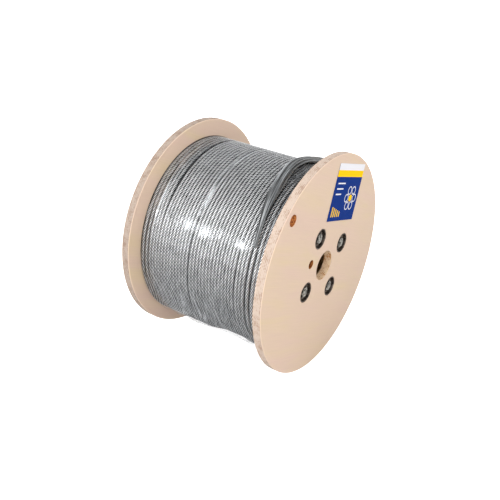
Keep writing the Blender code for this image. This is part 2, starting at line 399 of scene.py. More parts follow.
def turned(section, steps, closed=True):
    """A section of (radius, x) turned about the reel's axis, as a closed surface."""
    shape = bmesh.new()
    points = [shape.verts.new((x, 0, radius)) for radius, x in section]
    pairs = list(zip(points, points[1:]))
    if closed:
        pairs.append((points[-1], points[0]))
    lines = [shape.edges.new(pair) for pair in pairs]
    bmesh.ops.spin(
        shape,
        geom=points + lines,
        cent=(0, 0, 0),
        axis=(1, 0, 0),
        angle=math.tau,
        steps=steps,
        use_merge=True,
    )
    bmesh.ops.remove_doubles(shape, verts=shape.verts, dist=MERGE)
    bmesh.ops.recalc_face_normals(shape, faces=shape.faces)
    return shape


def prism(sides, radius, low, high, turn=0.0):
    """A closed prism on the reel's axis from x = low to x = high."""
    shape = bmesh.new()
    lay = Matrix.Translation(((low + high) / 2, 0, 0)) @ Matrix.Rotation(math.pi / 2, 4, "Y")
    bmesh.ops.create_cone(
        shape,
        cap_ends=True,
        segments=sides,
        radius1=radius,
        radius2=radius,
        depth=high - low,
        matrix=lay @ Matrix.Rotation(turn, 4, "Z"),
    )
    return shape


def moved(shape, y, z):
    bmesh.ops.translate(shape, verts=shape.verts, vec=(0, y, z))
    return shape


def new_object(name, shape):
    """An object at the origin with the bmesh's shape, which is freed."""
    mesh = bpy.data.meshes.new(name)
    shape.to_mesh(mesh)
    shape.free()
    made = bpy.data.objects.new(name, mesh)
    bpy.context.scene.collection.objects.link(made)
    return made


def apply_modifiers(piece):
    bpy.context.view_layer.update()
    graph = bpy.context.evaluated_depsgraph_get()
    mesh = bpy.data.meshes.new_from_object(piece.evaluated_get(graph))
    piece.modifiers.clear()
    piece.data = mesh


def boolean(piece, cutters, operation="DIFFERENCE"):
    """Cuts the shapes out of the piece, or keeps what lies in them, and removes them."""
    helpers = [new_object(f"cutter_{i}", shape) for i, shape in enumerate(cutters)]
    for helper in helpers:
        cut = piece.modifiers.new(helper.name, "BOOLEAN")
        cut.operation = operation
        cut.object = helper
        cut.solver = "EXACT"
    apply_modifiers(piece)
    for helper in helpers:
        bpy.data.objects.remove(helper)


def keep(piece, slot, nodes, *materials, sharp=SMOOTH_LIMIT):
    """Finishes a piece: shading, material, body and the nodes that it stands for. The slot is not used."""
    piece.data.shade_smooth()
    piece.data.set_sharp_from_angle(angle=sharp)
    for material in materials:
        piece.data.materials.append(material)
    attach(piece, BODY)
    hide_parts(*nodes)


def dress(node, material):
    """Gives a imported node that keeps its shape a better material."""
    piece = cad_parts[node]
    piece.data.materials.clear()
    piece.data.materials.append(material)


def new_material(name):
    material = bpy.data.materials.new(name)
    material.use_nodes = True
    tree = material.node_tree
    return material, tree, tree.nodes["Principled BSDF"]


def add_node(tree, kind, inputs=None, **settings):
    """Adds a node, and fills or links its inputs, which are named or numbered."""
    node = tree.nodes.new(kind)
    for name, value in settings.items():
        setattr(node, name, value)
    for socket, value in (inputs or {}).items():
        if isinstance(value, bpy.types.NodeSocket):
            tree.links.new(value, node.inputs[socket])
        else:
            node.inputs[socket].default_value = value
    return node


def ramp_stops(ramp, stops):
    """Sets a colour ramp's stops from pairs of position and colour."""
    elements = ramp.color_ramp.elements
    while len(elements) < len(stops):
        elements.new(1.0)
    for element, (position, colour) in zip(elements, stops):
        element.position = position
        element.color = colour


def grey(value):
    return (value, value, value, 1.0)


def veneer_material(sizes, name, shaded_near_rope):
    """Rotary-cut birch, sanded and left raw: pale, matt, with faint long fibres and soft figure.

    The other one is painted dark as shade in the crevice beside the rope, out to the winding's crest.
    """
    material, tree, shader = new_material(name)
    place = add_node(tree, "ShaderNodeTexCoord")
    laid = add_node(
        tree,
        "ShaderNodeMapping",
        {"Vector": place.outputs["Object"], "Rotation": (sizes.grain_turn, 0, 0)},
        vector_type="TEXTURE",
    )
    # fibres about 0.8 mm apart and 60 mm long, drawn coarser than the real 0.1 mm
    fibre_lie = add_node(
        tree, "ShaderNodeMapping", {"Vector": laid.outputs[0], "Scale": (400, 16, 1250)}
    )
    fibres = add_node(
        tree, "ShaderNodeTexNoise", {"Vector": fibre_lie.outputs[0], "Scale": 1.0, "Detail": 4.0}
    )
    # figure about 30 mm across, stretched along the grain
    figure_lie = add_node(
        tree, "ShaderNodeMapping", {"Vector": laid.outputs[0], "Scale": (20, 6, 34)}
    )
    figure = add_node(
        tree,
        "ShaderNodeTexNoise",
        {"Vector": figure_lie.outputs[0], "Scale": 1.0, "Detail": 3.0, "Distortion": 0.6},
    )
    tone = add_node(tree, "ShaderNodeValToRGB", {"Fac": figure.outputs["Fac"]})
    base = Vector(sizes.veneer[:3])
    ramp_stops(
        tone,
        (
            (0.3, (base.x, base.y * 0.97, base.z * 1.04, 1.0)),
            (0.55, (*base, 1.0)),
            (0.75, (base.x, base.y * 1.02, base.z * 0.90, 1.0)),
        ),
    )
    streak = add_node(
        tree,
        "ShaderNodeMapRange",
        {"Value": fibres.outputs["Fac"], "From Min": 0.3, "From Max": 0.7, "To Min": 0.96, "To Max": 1.02},
    )
    colour = add_node(
        tree,
        "ShaderNodeMix",
        {"Factor": 1.0, "A": tone.outputs["Color"], "B": streak.outputs[0]},
        data_type="RGBA",
        blend_type="MULTIPLY",
    )
    # painted shade: near black in the crevice beside the rope, clearing just past the winding's crest
    if shaded_near_rope:
        flat = add_node(
            tree,
            "ShaderNodeVectorMath",
            {0: place.outputs["Object"], 1: (0, 1, 1)},
            operation="MULTIPLY",
        )
        out = add_node(tree, "ShaderNodeVectorMath", {0: flat.outputs[0]}, operation="LENGTH")
        past_shade = add_node(
            tree,
            "ShaderNodeMapRange",
            {"Value": out.outputs["Value"], "From Min": CREST - 0.3 * MM, "From Max": CREST + 1.3 * MM},
        )
        colour = add_node(
            tree,
            "ShaderNodeMix",
            {"Factor": past_shade.outputs[0], "A": linear("0F0D0C"), "B": colour.outputs["Result"]},
            data_type="RGBA",
        )
    tree.links.new(colour.outputs["Result"], shader.inputs["Base Color"])
    bump = add_node(
        tree,
        "ShaderNodeBump",
        {"Height": fibres.outputs["Fac"], "Strength": 0.25, "Distance": 0.12 * MM},
    )
    tree.links.new(bump.outputs[0], shader.inputs["Normal"])
    shader.inputs["Roughness"].default_value = 0.62
    shader.inputs["Specular IOR Level"].default_value = 0.3
    return material


def ply_edge_material(name, ply, side_colour, end_colour):
    """Cut birch plywood: plies in turn pale side grain and darker end grain, mottled and matt."""
    material, tree, shader = new_material(name)
    place = add_node(tree, "ShaderNodeTexCoord")
    parts = add_node(tree, "ShaderNodeSeparateXYZ", {0: place.outputs["Object"]})
    wander = add_node(
        tree, "ShaderNodeTexNoise", {"Vector": place.outputs["Object"], "Scale": 60.0, "Detail": 1.0}
    )
    lift = add_node(
        tree,
        "ShaderNodeMath",
        {0: wander.outputs["Fac"], 1: 0.5 * MM, 2: parts.outputs["X"]},
        operation="MULTIPLY_ADD",
    )
    count = add_node(tree, "ShaderNodeMath", {0: lift.outputs[0], 1: ply}, operation="DIVIDE")
    wave = add_node(tree, "ShaderNodeMath", {0: count.outputs[0], 1: math.pi}, operation="MULTIPLY")
    plies = add_node(tree, "ShaderNodeMath", {0: wave.outputs[0]}, operation="SINE")
    # saw marks and open pores, about 3 mm long round the edge
    pores = add_node(
        tree, "ShaderNodeTexNoise", {"Vector": place.outputs["Object"], "Scale": 420.0, "Detail": 3.0}
    )
    blotches = add_node(
        tree, "ShaderNodeTexNoise", {"Vector": place.outputs["Object"], "Scale": 90.0, "Detail": 4.0}
    )
    mixed = add_node(
        tree,
        "ShaderNodeMath",
        {0: pores.outputs["Fac"], 1: 0.9, 2: blotches.outputs["Fac"]},
        operation="MULTIPLY_ADD",
    )
    shade = add_node(
        tree,
        "ShaderNodeMath",
        {0: plies.outputs[0], 1: 0.12, 2: mixed.outputs[0]},
        operation="MULTIPLY_ADD",
    )
    tone = add_node(tree, "ShaderNodeValToRGB", {"Fac": shade.outputs[0]})
    side = Vector(side_colour[:3])
    end = Vector(end_colour[:3])
    ramp_stops(
        tone,
        (
            (0.72, (*end, 1.0)),
            (0.86, (*(side.lerp(end, 0.35)), 1.0)),
            (0.96, (*(side * 1.04), 1.0)),
        ),
    )
    tree.links.new(tone.outputs["Color"], shader.inputs["Base Color"])
    bump = add_node(
        tree,
        "ShaderNodeBump",
        {"Height": shade.outputs[0], "Strength": 0.5, "Distance": 0.25 * MM},
    )
    tree.links.new(bump.outputs[0], shader.inputs["Normal"])
    shader.inputs["Roughness"].default_value = 0.75
    shader.inputs["Specular IOR Level"].default_value = 0.25
    return material


def board_material():
    """Spiral-wound kraft tube: brown paper, matt and finely mottled."""
    material, tree, shader = new_material("kraft_board_spiral_wound")
    place = add_node(tree, "ShaderNodeTexCoord")
    fibres = add_node(
        tree, "ShaderNodeTexNoise", {"Vector": place.outputs["Object"], "Scale": 260.0, "Detail": 4.0}
    )
    tone = add_node(tree, "ShaderNodeValToRGB", {"Fac": fibres.outputs["Fac"]})
    ramp_stops(tone, ((0.3, linear("A87C4C")), (0.7, linear("CDA673"))))
    tree.links.new(tone.outputs["Color"], shader.inputs["Base Color"])
    bump = add_node(
        tree, "ShaderNodeBump", {"Height": fibres.outputs["Fac"], "Strength": 0.3, "Distance": 0.2 * MM}
    )
    tree.links.new(bump.outputs[0], shader.inputs["Normal"])
    shader.inputs["Roughness"].default_value = 0.85
    return material


def rope_material(sizes):
    """Drawn galvanised wire laid in strands: satin crowns, grooves painted near black as shade, wires
    along the rope.
    """
    material, tree, shader = new_material("galvanised_wire_strands")
    laid = add_node(tree, "ShaderNodeUVMap", uv_map="lay")
    parts = add_node(tree, "ShaderNodeSeparateXYZ", {0: laid.outputs[0]})
    strand = add_node(tree, "ShaderNodeAttribute", attribute_name="strand")
    valley_shade = add_node(tree, "ShaderNodeAttribute", attribute_name="valley_shade")
    # painted shade, with grease, darkens the grooves between strands and the valleys between turns
    between = add_node(
        tree,
        "ShaderNodeMapRange",
        {"Value": strand.outputs["Fac"], "From Min": 0.15, "From Max": 0.6},
    )
    clear = add_node(
        tree, "ShaderNodeMath", {0: 1.0, 1: valley_shade.outputs["Fac"]}, operation="SUBTRACT"
    )
    groove = add_node(
        tree,
        "ShaderNodeMath",
        {0: between.outputs[0], 1: clear.outputs[0], 2: valley_shade.outputs["Fac"]},
        operation="MULTIPLY_ADD",
    )
    # the lay map is in millimetres, round the rope and along it
    wires = add_node(
        tree,
        "ShaderNodeMath",
        {0: parts.outputs["X"], 1: math.tau * MM / sizes.wire},
        operation="MULTIPLY",
    )
    wave = add_node(tree, "ShaderNodeMath", {0: wires.outputs[0]}, operation="SINE")
    mottle_and_shade = add_node(
        tree,
        "ShaderNodeTexNoise",
        {"Vector": laid.outputs[0], "Scale": 0.05, "Detail": 4.0},
    )
    cloud = add_node(
        tree,
        "ShaderNodeMath",
        {0: mottle_and_shade.outputs["Fac"], 1: 0.5, 2: groove.outputs[0]},
        operation="MULTIPLY_ADD",
    )
    # painted shade: the colour runs from pale crowns to near black in the grooves and the valleys
    tone = add_node(tree, "ShaderNodeValToRGB", {"Fac": cloud.outputs[0]})
    ramp_stops(tone, ((0.25, sizes.bright[:]), (0.55, linear("B4B6B8")), (0.9, sizes.groove[:])))
    tree.links.new(tone.outputs["Color"], shader.inputs["Base Color"])
    rough = add_node(
        tree,
        "ShaderNodeMapRange",
        {"Value": cloud.outputs[0], "From Min": 0.1, "From Max": 1.0, "To Min": 0.25, "To Max": 0.55},
    )
    tree.links.new(rough.outputs[0], shader.inputs["Roughness"])
    bump = add_node(
        tree,
        "ShaderNodeBump",
        {"Height": wave.outputs[0], "Strength": 0.2, "Distance": 0.1 * MM},
    )
    tree.links.new(bump.outputs[0], shader.inputs["Normal"])
    shader.inputs["Metallic"].default_value = 1.0
    return material


def inner_rope_material():
    """The layers below, seen between turns: the same wire, coloured near black as painted shade, and
    mottled.
    """
    material, tree, shader = new_material("galvanised_wire_inner_layers")
    place = add_node(tree, "ShaderNodeTexCoord")
    marks = add_node(
        tree,
        "ShaderNodeTexNoise",
        {"Vector": place.outputs["Object"], "Scale": 300.0, "Detail": 2.0},
    )
    tone = add_node(tree, "ShaderNodeValToRGB", {"Fac": marks.outputs["Fac"]})
    ramp_stops(tone, ((0.35, linear("0E0F10")), (0.65, linear("3E4042"))))
    tree.links.new(tone.outputs["Color"], shader.inputs["Base Color"])
    shader.inputs["Metallic"].default_value = 0.8
    shader.inputs["Roughness"].default_value = 0.5
    return material


def film_material(sizes):
    """Clear polyethylene stretch film: see-through, with a sharp gloss and a veil on its creases."""
    material, tree, shader = new_material("polyethylene_film_clear")
    place = add_node(tree, "ShaderNodeTexCoord")
    # creases run round the winding, about 8 mm apart
    lie = add_node(
        tree,
        "ShaderNodeMapping",
        {"Vector": place.outputs["Object"], "Scale": (120, 22, 22)},
    )
    creases = add_node(
        tree,
        "ShaderNodeTexNoise",
        {"Vector": lie.outputs[0], "Scale": 1.0, "Detail": 4.0, "Distortion": 1.2},
    )
    fold = add_node(
        tree,
        "ShaderNodeMapRange",
        {"Value": creases.outputs["Fac"], "From Min": 0.52, "From Max": 0.75, "To Max": 0.03},
    )
    edge = add_node(tree, "ShaderNodeLayerWeight", {"Blend": 0.35})
    rim = add_node(
        tree,
        "ShaderNodeMath",
        {0: edge.outputs["Facing"], 1: 0.03, 2: sizes.veil},
        operation="MULTIPLY_ADD",
    )
    alpha = add_node(tree, "ShaderNodeMath", {0: rim.outputs[0], 1: fold.outputs[0]}, operation="ADD")
    # where the film is stretched white, or a glint of the light is painted, broken up by the creases
    haze_and_glints = add_node(tree, "ShaderNodeAttribute", attribute_name="haze_and_glints")
    broken = add_node(
        tree,
        "ShaderNodeMapRange",
        {"Value": creases.outputs["Fac"], "From Min": 0.42, "From Max": 0.62, "To Min": 0.15},
    )
    white = add_node(
        tree,
        "ShaderNodeMath",
        {0: haze_and_glints.outputs["Fac"], 1: broken.outputs[0], 2: alpha.outputs[0]},
        operation="MULTIPLY_ADD",
    )
    tree.links.new(white.outputs[0], shader.inputs["Alpha"])
    bump = add_node(
        tree,
        "ShaderNodeBump",
        {"Height": creases.outputs["Fac"], "Strength": 0.15, "Distance": 1.0 * MM},
    )
    tree.links.new(bump.outputs[0], shader.inputs["Normal"])
    shader.inputs["Base Color"].default_value = sizes.tint
    shader.inputs["Metallic"].default_value = 0.7
    shader.inputs["Roughness"].default_value = 0.08
    return material


def tail_material(sizes):
    """The same film in many folds: half clear and glossy, with streaks along it in its bump and its
    colour; the colour's near-black and pale streaks are painted shade and painted reflections.
    """
    material, tree, shader = new_material("polyethylene_film_gathered")
    laid = add_node(tree, "ShaderNodeUVMap", uv_map="lay")
    lie = add_node(tree, "ShaderNodeMapping", {"Vector": laid.outputs[0], "Scale": (26, 3, 1)})
    streaks = add_node(
        tree, "ShaderNodeTexNoise", {"Vector": lie.outputs[0], "Scale": 1.0, "Detail": 4.0}
    )
    # painted shade and painted reflection: near black to pale grey streaks
    tone = add_node(tree, "ShaderNodeValToRGB", {"Fac": streaks.outputs["Fac"]})
    ramp_stops(tone, ((0.38, linear("1D1E1F")), (0.52, linear("55585A")), (0.66, linear("B4B7BA"))))
    tree.links.new(tone.outputs["Color"], shader.inputs["Base Color"])
    bump = add_node(
        tree,
        "ShaderNodeBump",
        {"Height": streaks.outputs["Fac"], "Strength": 0.7, "Distance": 0.8 * MM},
    )
    tree.links.new(bump.outputs[0], shader.inputs["Normal"])
    shader.inputs["Roughness"].default_value = 0.28
    shader.inputs["Metallic"].default_value = 0.35
    shader.inputs["Alpha"].default_value = 0.82
    return material


def steel_material(name, colour, roughness, metallic, wear):
    """Plated or blackened steel: a cloudy coat, darker by the share of wear where it is worn."""
    material, tree, shader = new_material(name)
    place = add_node(tree, "ShaderNodeTexCoord")
    cloud = add_node(
        tree, "ShaderNodeTexNoise", {"Vector": place.outputs["Object"], "Scale": 150.0, "Detail": 3.0}
    )
    tone = add_node(tree, "ShaderNodeValToRGB", {"Fac": cloud.outputs["Fac"]})
    base = Vector(colour[:3])
    ramp_stops(tone, ((0.38, (*(base * (1 - wear)), 1.0)), (0.62, (*(base * 1.25), 1.0))))
    tree.links.new(tone.outputs["Color"], shader.inputs["Base Color"])
    rough = add_node(
        tree,
        "ShaderNodeMapRange",
        {"Value": cloud.outputs["Fac"], "To Min": roughness * 0.7, "To Max": roughness * 1.3},
    )
    tree.links.new(rough.outputs[0], shader.inputs["Roughness"])
    shader.inputs["Metallic"].default_value = metallic
    return material


def label_material(sizes, centre):
    """Coated label paper, printed: flat strong colours under a slight gloss."""
    material, tree, shader = new_material("coated_label_paper_printed")
    place = add_node(tree, "ShaderNodeTexCoord")
    local = add_node(
        tree,
        "ShaderNodeMapping",
        {"Vector": place.outputs["Object"], "Location": centre, "Rotation": (sizes.tilt, 0, 0)},
        vector_type="TEXTURE",
    )
    parts = add_node(tree, "ShaderNodeSeparateXYZ", {0: local.outputs[0]})
    across, up = parts.outputs["Y"], parts.outputs["Z"]

    def strip(value, middle, half):
        return add_node(
            tree, "ShaderNodeMath", {0: value, 1: middle, 2: half}, operation="COMPARE"
        ).outputs[0]

    def bar(left, right, low, high):
        """A printed rectangle, in millimetres from the label's middle."""
        wide = strip(across, (left + right) / 2 * MM, (right - left) / 2 * MM)
        tall = strip(up, (low + high) / 2 * MM, (high - low) / 2 * MM)
        return add_node(tree, "ShaderNodeMath", {0: wide, 1: tall}, operation="MULTIPLY").outputs[0]

    def ring(y, z, radius, width):
        """A printed ring, in millimetres from the label's middle."""
        away = add_node(
            tree,
            "ShaderNodeVectorMath",
            {0: local.outputs[0], 1: (0, y * MM, z * MM)},
            operation="DISTANCE",
        )
        return strip(away.outputs["Value"], radius * MM, width / 2 * MM)

    def over(below, colour, mask):
        return add_node(
            tree,
            "ShaderNodeMix",
            {"Factor": mask, "A": below, "B": colour},
            data_type="RGBA",
        ).outputs["Result"]

    half_width = sizes.width / MM / 2
    half_height = sizes.height / MM / 2
    band = bar(-half_width, half_width, BAND_LOW, BAND_HIGH)
    print_colour = over(sizes.blue, sizes.yellow, band)
    top = bar(-half_width, half_width, BAND_HIGH, half_height)
    print_colour = over(print_colour, sizes.white, top)
    for right, low in BARS:
        print_colour = over(print_colour, sizes.white, bar(PRINT_LEFT, right, low, low + BAR_HEIGHT))
    y, z = ROSETTE_MIDDLE
    for number in range(ROSETTE_RINGS):
        angle = math.tau * number / ROSETTE_RINGS
        out = (y + ROSETTE_RADIUS * math.cos(angle), z + ROSETTE_RADIUS * math.sin(angle))
        print_colour = over(print_colour, sizes.white, ring(*out, RING_RADIUS, RING_WIDTH))
    print_colour = over(print_colour, sizes.yellow, ring(y, z, EYE_RADIUS / 2, EYE_RADIUS))
    for number in range(STRIPES):
        left = PRINT_LEFT + STRIPE_SPACING * number
        stripe = bar(left, left + STRIPE_WIDTH, STRIPE_LOW, STRIPE_HIGH - STRIPE_STEP * number)
        print_colour = over(print_colour, sizes.yellow, stripe)
    tree.links.new(print_colour, shader.inputs["Base Color"])
    shader.inputs["Roughness"].default_value = 0.6
    shader.inputs["Specular IOR Level"].default_value = 0.05
    return material


class REEL_OT_stage(bpy.types.Operator):
    """Makes the floor, the soft light and the camera"""

    bl_idname = "reel.stage"
    bl_label = "Stage"

    # the camera looks at the reel's middle: lens and sensor in millimetres, shift in
    # shares of the sensor
    azimuth = math.radians(34.162)
    elevation = math.radians(31.395)
    distance = 1.2504
    lens = 51.44
    sensor = 36
    shift = (-0.0109, -0.0176)
    # the floor is white to the camera and a pale grey to the light
    floor_half = 6.0
    floor_tone = 0.6
    floor_glow = 1.0
    # the room's brightness, and that of the soft light and the way to it
    room = 1.2
    soft = 3.2
    soft_side = (-0.479, -0.85, 0.25)
    # the small hard light, aimed at the reel's middle
    key_place = (-0.80, -1.27, 0.72)
    key_size = 0.35
    key_power = 2

    def execute(self, context):
        self.make_floor()
        self.make_light(context)
        self.make_key_light(context)
        self.make_camera(context)
        return {"FINISHED"}

    def make_floor(self):
        shape = bmesh.new()
        level = Matrix.Translation((0, 0, -RIM))
        bmesh.ops.create_grid(
            shape, x_segments=1, y_segments=1, size=self.floor_half, matrix=level
        )
        floor = new_object("studio_floor", shape)
        material, tree, shader = new_material("white_studio_paper")
        shader.inputs["Base Color"].default_value = grey(self.floor_tone)
        shader.inputs["Roughness"].default_value = 0.9
        shader.inputs["Specular IOR Level"].default_value = 0.1
        shader.inputs["Emission Color"].default_value = grey(1.0)
        ray = add_node(tree, "ShaderNodeLightPath")
        glow = add_node(
            tree,
            "ShaderNodeMath",
            {0: ray.outputs["Is Camera Ray"], 1: self.floor_glow},
            operation="MULTIPLY",
        )
        tree.links.new(glow.outputs[0], shader.inputs["Emission Strength"])
        floor.data.materials.append(material)
        floor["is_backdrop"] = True

    def make_light(self, context):
        """Lights a white room, softly from the front left."""
        world = bpy.data.worlds.new("white_studio")
        context.scene.world = world
        world.use_nodes = True
        tree = world.node_tree
        place = add_node(tree, "ShaderNodeTexCoord")
        toward = add_node(
            tree,
            "ShaderNodeVectorMath",
            {0: place.outputs["Generated"], 1: Vector(self.soft_side).normalized()},
            operation="DOT_PRODUCT",
        )
        lobe = add_node(
            tree,
            "ShaderNodeMapRange",
            {
                "Value": toward.outputs["Value"],
                "From Min": 0.35,
                "From Max": 0.95,
                "To Min": self.room,
                "To Max": self.soft,
            },
            interpolation_type="SMOOTHSTEP",
        )
        ray = add_node(tree, "ShaderNodeLightPath")
        strength = add_node(
            tree,
            "ShaderNodeMix",
            {"Factor": ray.outputs["Is Camera Ray"], "A": lobe.outputs[0], "B": 1.0},
            data_type="FLOAT",
        )
        background = tree.nodes["Background"]
        background.inputs["Color"].default_value = grey(1.0)
        tree.links.new(strength.outputs[0], background.inputs["Strength"])
        context.scene.view_settings.view_transform = "Standard"

    def make_key_light(self, context):
        """Adds a small hard light, for glints on the film."""
        data = bpy.data.lights.new("key_front_left", "AREA")
        data.shape = "DISK"
        data.size = self.key_size
        data.energy = self.key_power
        lamp = bpy.data.objects.new("key_front_left", data)
        context.scene.collection.objects.link(lamp)
        lamp.location = self.key_place
        lamp.rotation_euler = (-lamp.location).to_track_quat("-Z", "Y").to_euler()

    def make_camera(self, context):
        data = bpy.data.cameras.new("camera")
        data.lens = self.lens
        data.sensor_width = self.sensor
        data.shift_x, data.shift_y = self.shift
        camera = bpy.data.objects.new("camera", data)
        context.scene.collection.objects.link(camera)
        level = math.cos(self.elevation)
        back = Vector(
            (
                math.sin(self.azimuth) * level,
                -math.cos(self.azimuth) * level,
                math.sin(self.elevation),
            )
        )
        camera.location = back * self.distance
        camera.rotation_euler = (-back).to_track_quat("-Z", "Y").to_euler()
        context.scene.camera = camera


class REEL_OT_flanges(bpy.types.Operator):
    """Makes the two plywood discs with their holes and recesses"""

    bl_idname = "reel.flanges"
    bl_label = "Flanges"

    sides = 240
    hole_sides = 64
    arris_points = 5
    mouth = 0.5 * MM
    overrun = 3 * MM
    bolt_hole = 10.1 * MM
    # distance from the axis, and angle from +Y towards +Z
    drive_hole_place = (51.2 * MM, math.radians(150))
    rope_hole_place = (170 * MM, math.radians(127.8))
    # the flanges, which way each faces and how pale its sawn edge is: the far disc's edge is painted
    # darker, as shade
    discs = (("flange_near", 1, 0.92), ("flange_far", -1, 0.68))

    def execute(self, context):
        sizes = context.scene.reel_sizes
        ply = sizes.ply
        finishes = {
            "sanded": veneer_material(sizes, "birch_veneer_sanded", False),
            "sawn": None,  # each disc gets its own
            "bored": ply_edge_material("birch_plywood_bored", ply, sizes.bored, sizes.drilled),
            # painted shade on the inner faces, in the crevice beside the rope
            "rope_shaded": veneer_material(sizes, "birch_veneer_rope_shade_painted", True),
            "drilled": ply_edge_material("birch_plywood_drilled", ply, sizes.drilled, sizes.drilled_end_shade),
        }
        order = list(finishes)
        for node, side, tone in self.discs:
            # painted shade: the far disc's sawn plies are a darker copy of the near disc's
            grains = [Vector(colour[:3]) * tone for colour in (sizes.sawn, sizes.end_grain)]
            finishes["sawn"] = ply_edge_material(f"birch_plywood_sawn_{node}", ply, *grains)
            disc = new_object(f"plywood_{node}", turned(self.section(sizes, side), self.sides))
            boolean(disc, self.cutters(sizes, side))
            keep(disc, "plywood", [node], *finishes.values())
            for face in disc.data.polygons:
                face.material_index = order.index(self.finish(sizes, side, face))
        return {"FINISHED"}

    def finish(self, sizes, side, face):
        """Names the finish of one face of a disc, from where it is and how it faces."""
        if abs(face.normal.x) >= 0.5:
            return "rope_shaded" if face.normal.x * side < 0 else "sanded"
        out = math.hypot(face.center.y, face.center.z)
        if out > RIM - 2 * sizes.arris:
            return "sawn"
        return "bored" if out < 0.6 * sizes.bore else "drilled"

    def section(self, sizes, side):
        """The disc's section, with rounded arrises and the barrel's groove."""
        bore = sizes.bore / 2
        r = sizes.arris
        groove_outer = BARREL_OUTER + FIT
        groove_inner = BARREL_OUTER - BARREL_WALL - FIT
        groove_end = BARREL_END + FIT
        points = [(bore, OUTER_FACE - self.mouth), (bore + self.mouth, OUTER_FACE)]
        points += arc((RIM - r, OUTER_FACE - r), r, 90, 0, self.arris_points)
        points += arc((RIM - r, INNER_FACE + r), r, 0, -90, self.arris_points)
        points += [
            (groove_outer, INNER_FACE),
            (groove_outer, groove_end),
            (groove_inner, groove_end),
            (groove_inner, INNER_FACE),
            (bore + self.mouth, INNER_FACE),
            (bore, INNER_FACE + self.mouth),
        ]
        return [(radius, side * x) for radius, x in points]

    def hole(self, diameter, side, y, z, floor):
        """A cutter with a slightly flared mouth at the outer face."""
        radius = diameter / 2
        section = [
            (0, floor),
            (radius, floor),
            (radius, OUTER_FACE - self.mouth),
            (radius + self.mouth + self.overrun, OUTER_FACE + self.overrun),
            (0, OUTER_FACE + self.overrun),
        ]
        shape = turned([(r, side * x) for r, x in section], self.hole_sides, closed=False)
        return moved(shape, y, z)

    def cutters(self, sizes, side):
        """The shapes to cut: washer recesses, bolt holes, drive-pin hole and rope hole."""
        through = INNER_FACE - self.overrun
        end = "near" if side > 0 else "far"
        shapes = []
        for number in BOLT_NUMBERS:
            low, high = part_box(f"cup_washer_{end}_{number}")
            middle = (low + high) / 2
            floor = min(abs(low.x), abs(high.x)) - FIT
            shapes.append(self.hole(high.z - low.z + 2 * FIT, side, middle.y, middle.z, floor))
            shapes.append(self.hole(self.bolt_hole, side, middle.y, middle.z, through))
        places = [(sizes.drive_hole, *self.drive_hole_place)]
        if side > 0:
            places.append((sizes.rope_hole, *self.rope_hole_place))
        for diameter, radius, angle in places:
            y, z = radius * math.cos(angle), radius * math.sin(angle)
            shapes.append(self.hole(diameter, side, y, z, through))
        return shapes


class REEL_OT_barrel(bpy.types.Operator):
    """Makes the kraft tube between the flanges"""

    bl_idname = "reel.barrel"
    bl_label = "Barrel"

    sides = 120

    def execute(self, context):
        inner = BARREL_OUTER - BARREL_WALL
        section = [
            (BARREL_OUTER, BARREL_END),
            (BARREL_OUTER, -BARREL_END),
            (inner, -BARREL_END),
            (inner, BARREL_END),
        ]
        tube = new_object("kraft_barrel", turned(section, self.sides))
        keep(tube, "tube_board", ["barrel_tube"], board_material())
        return {"FINISHED"}


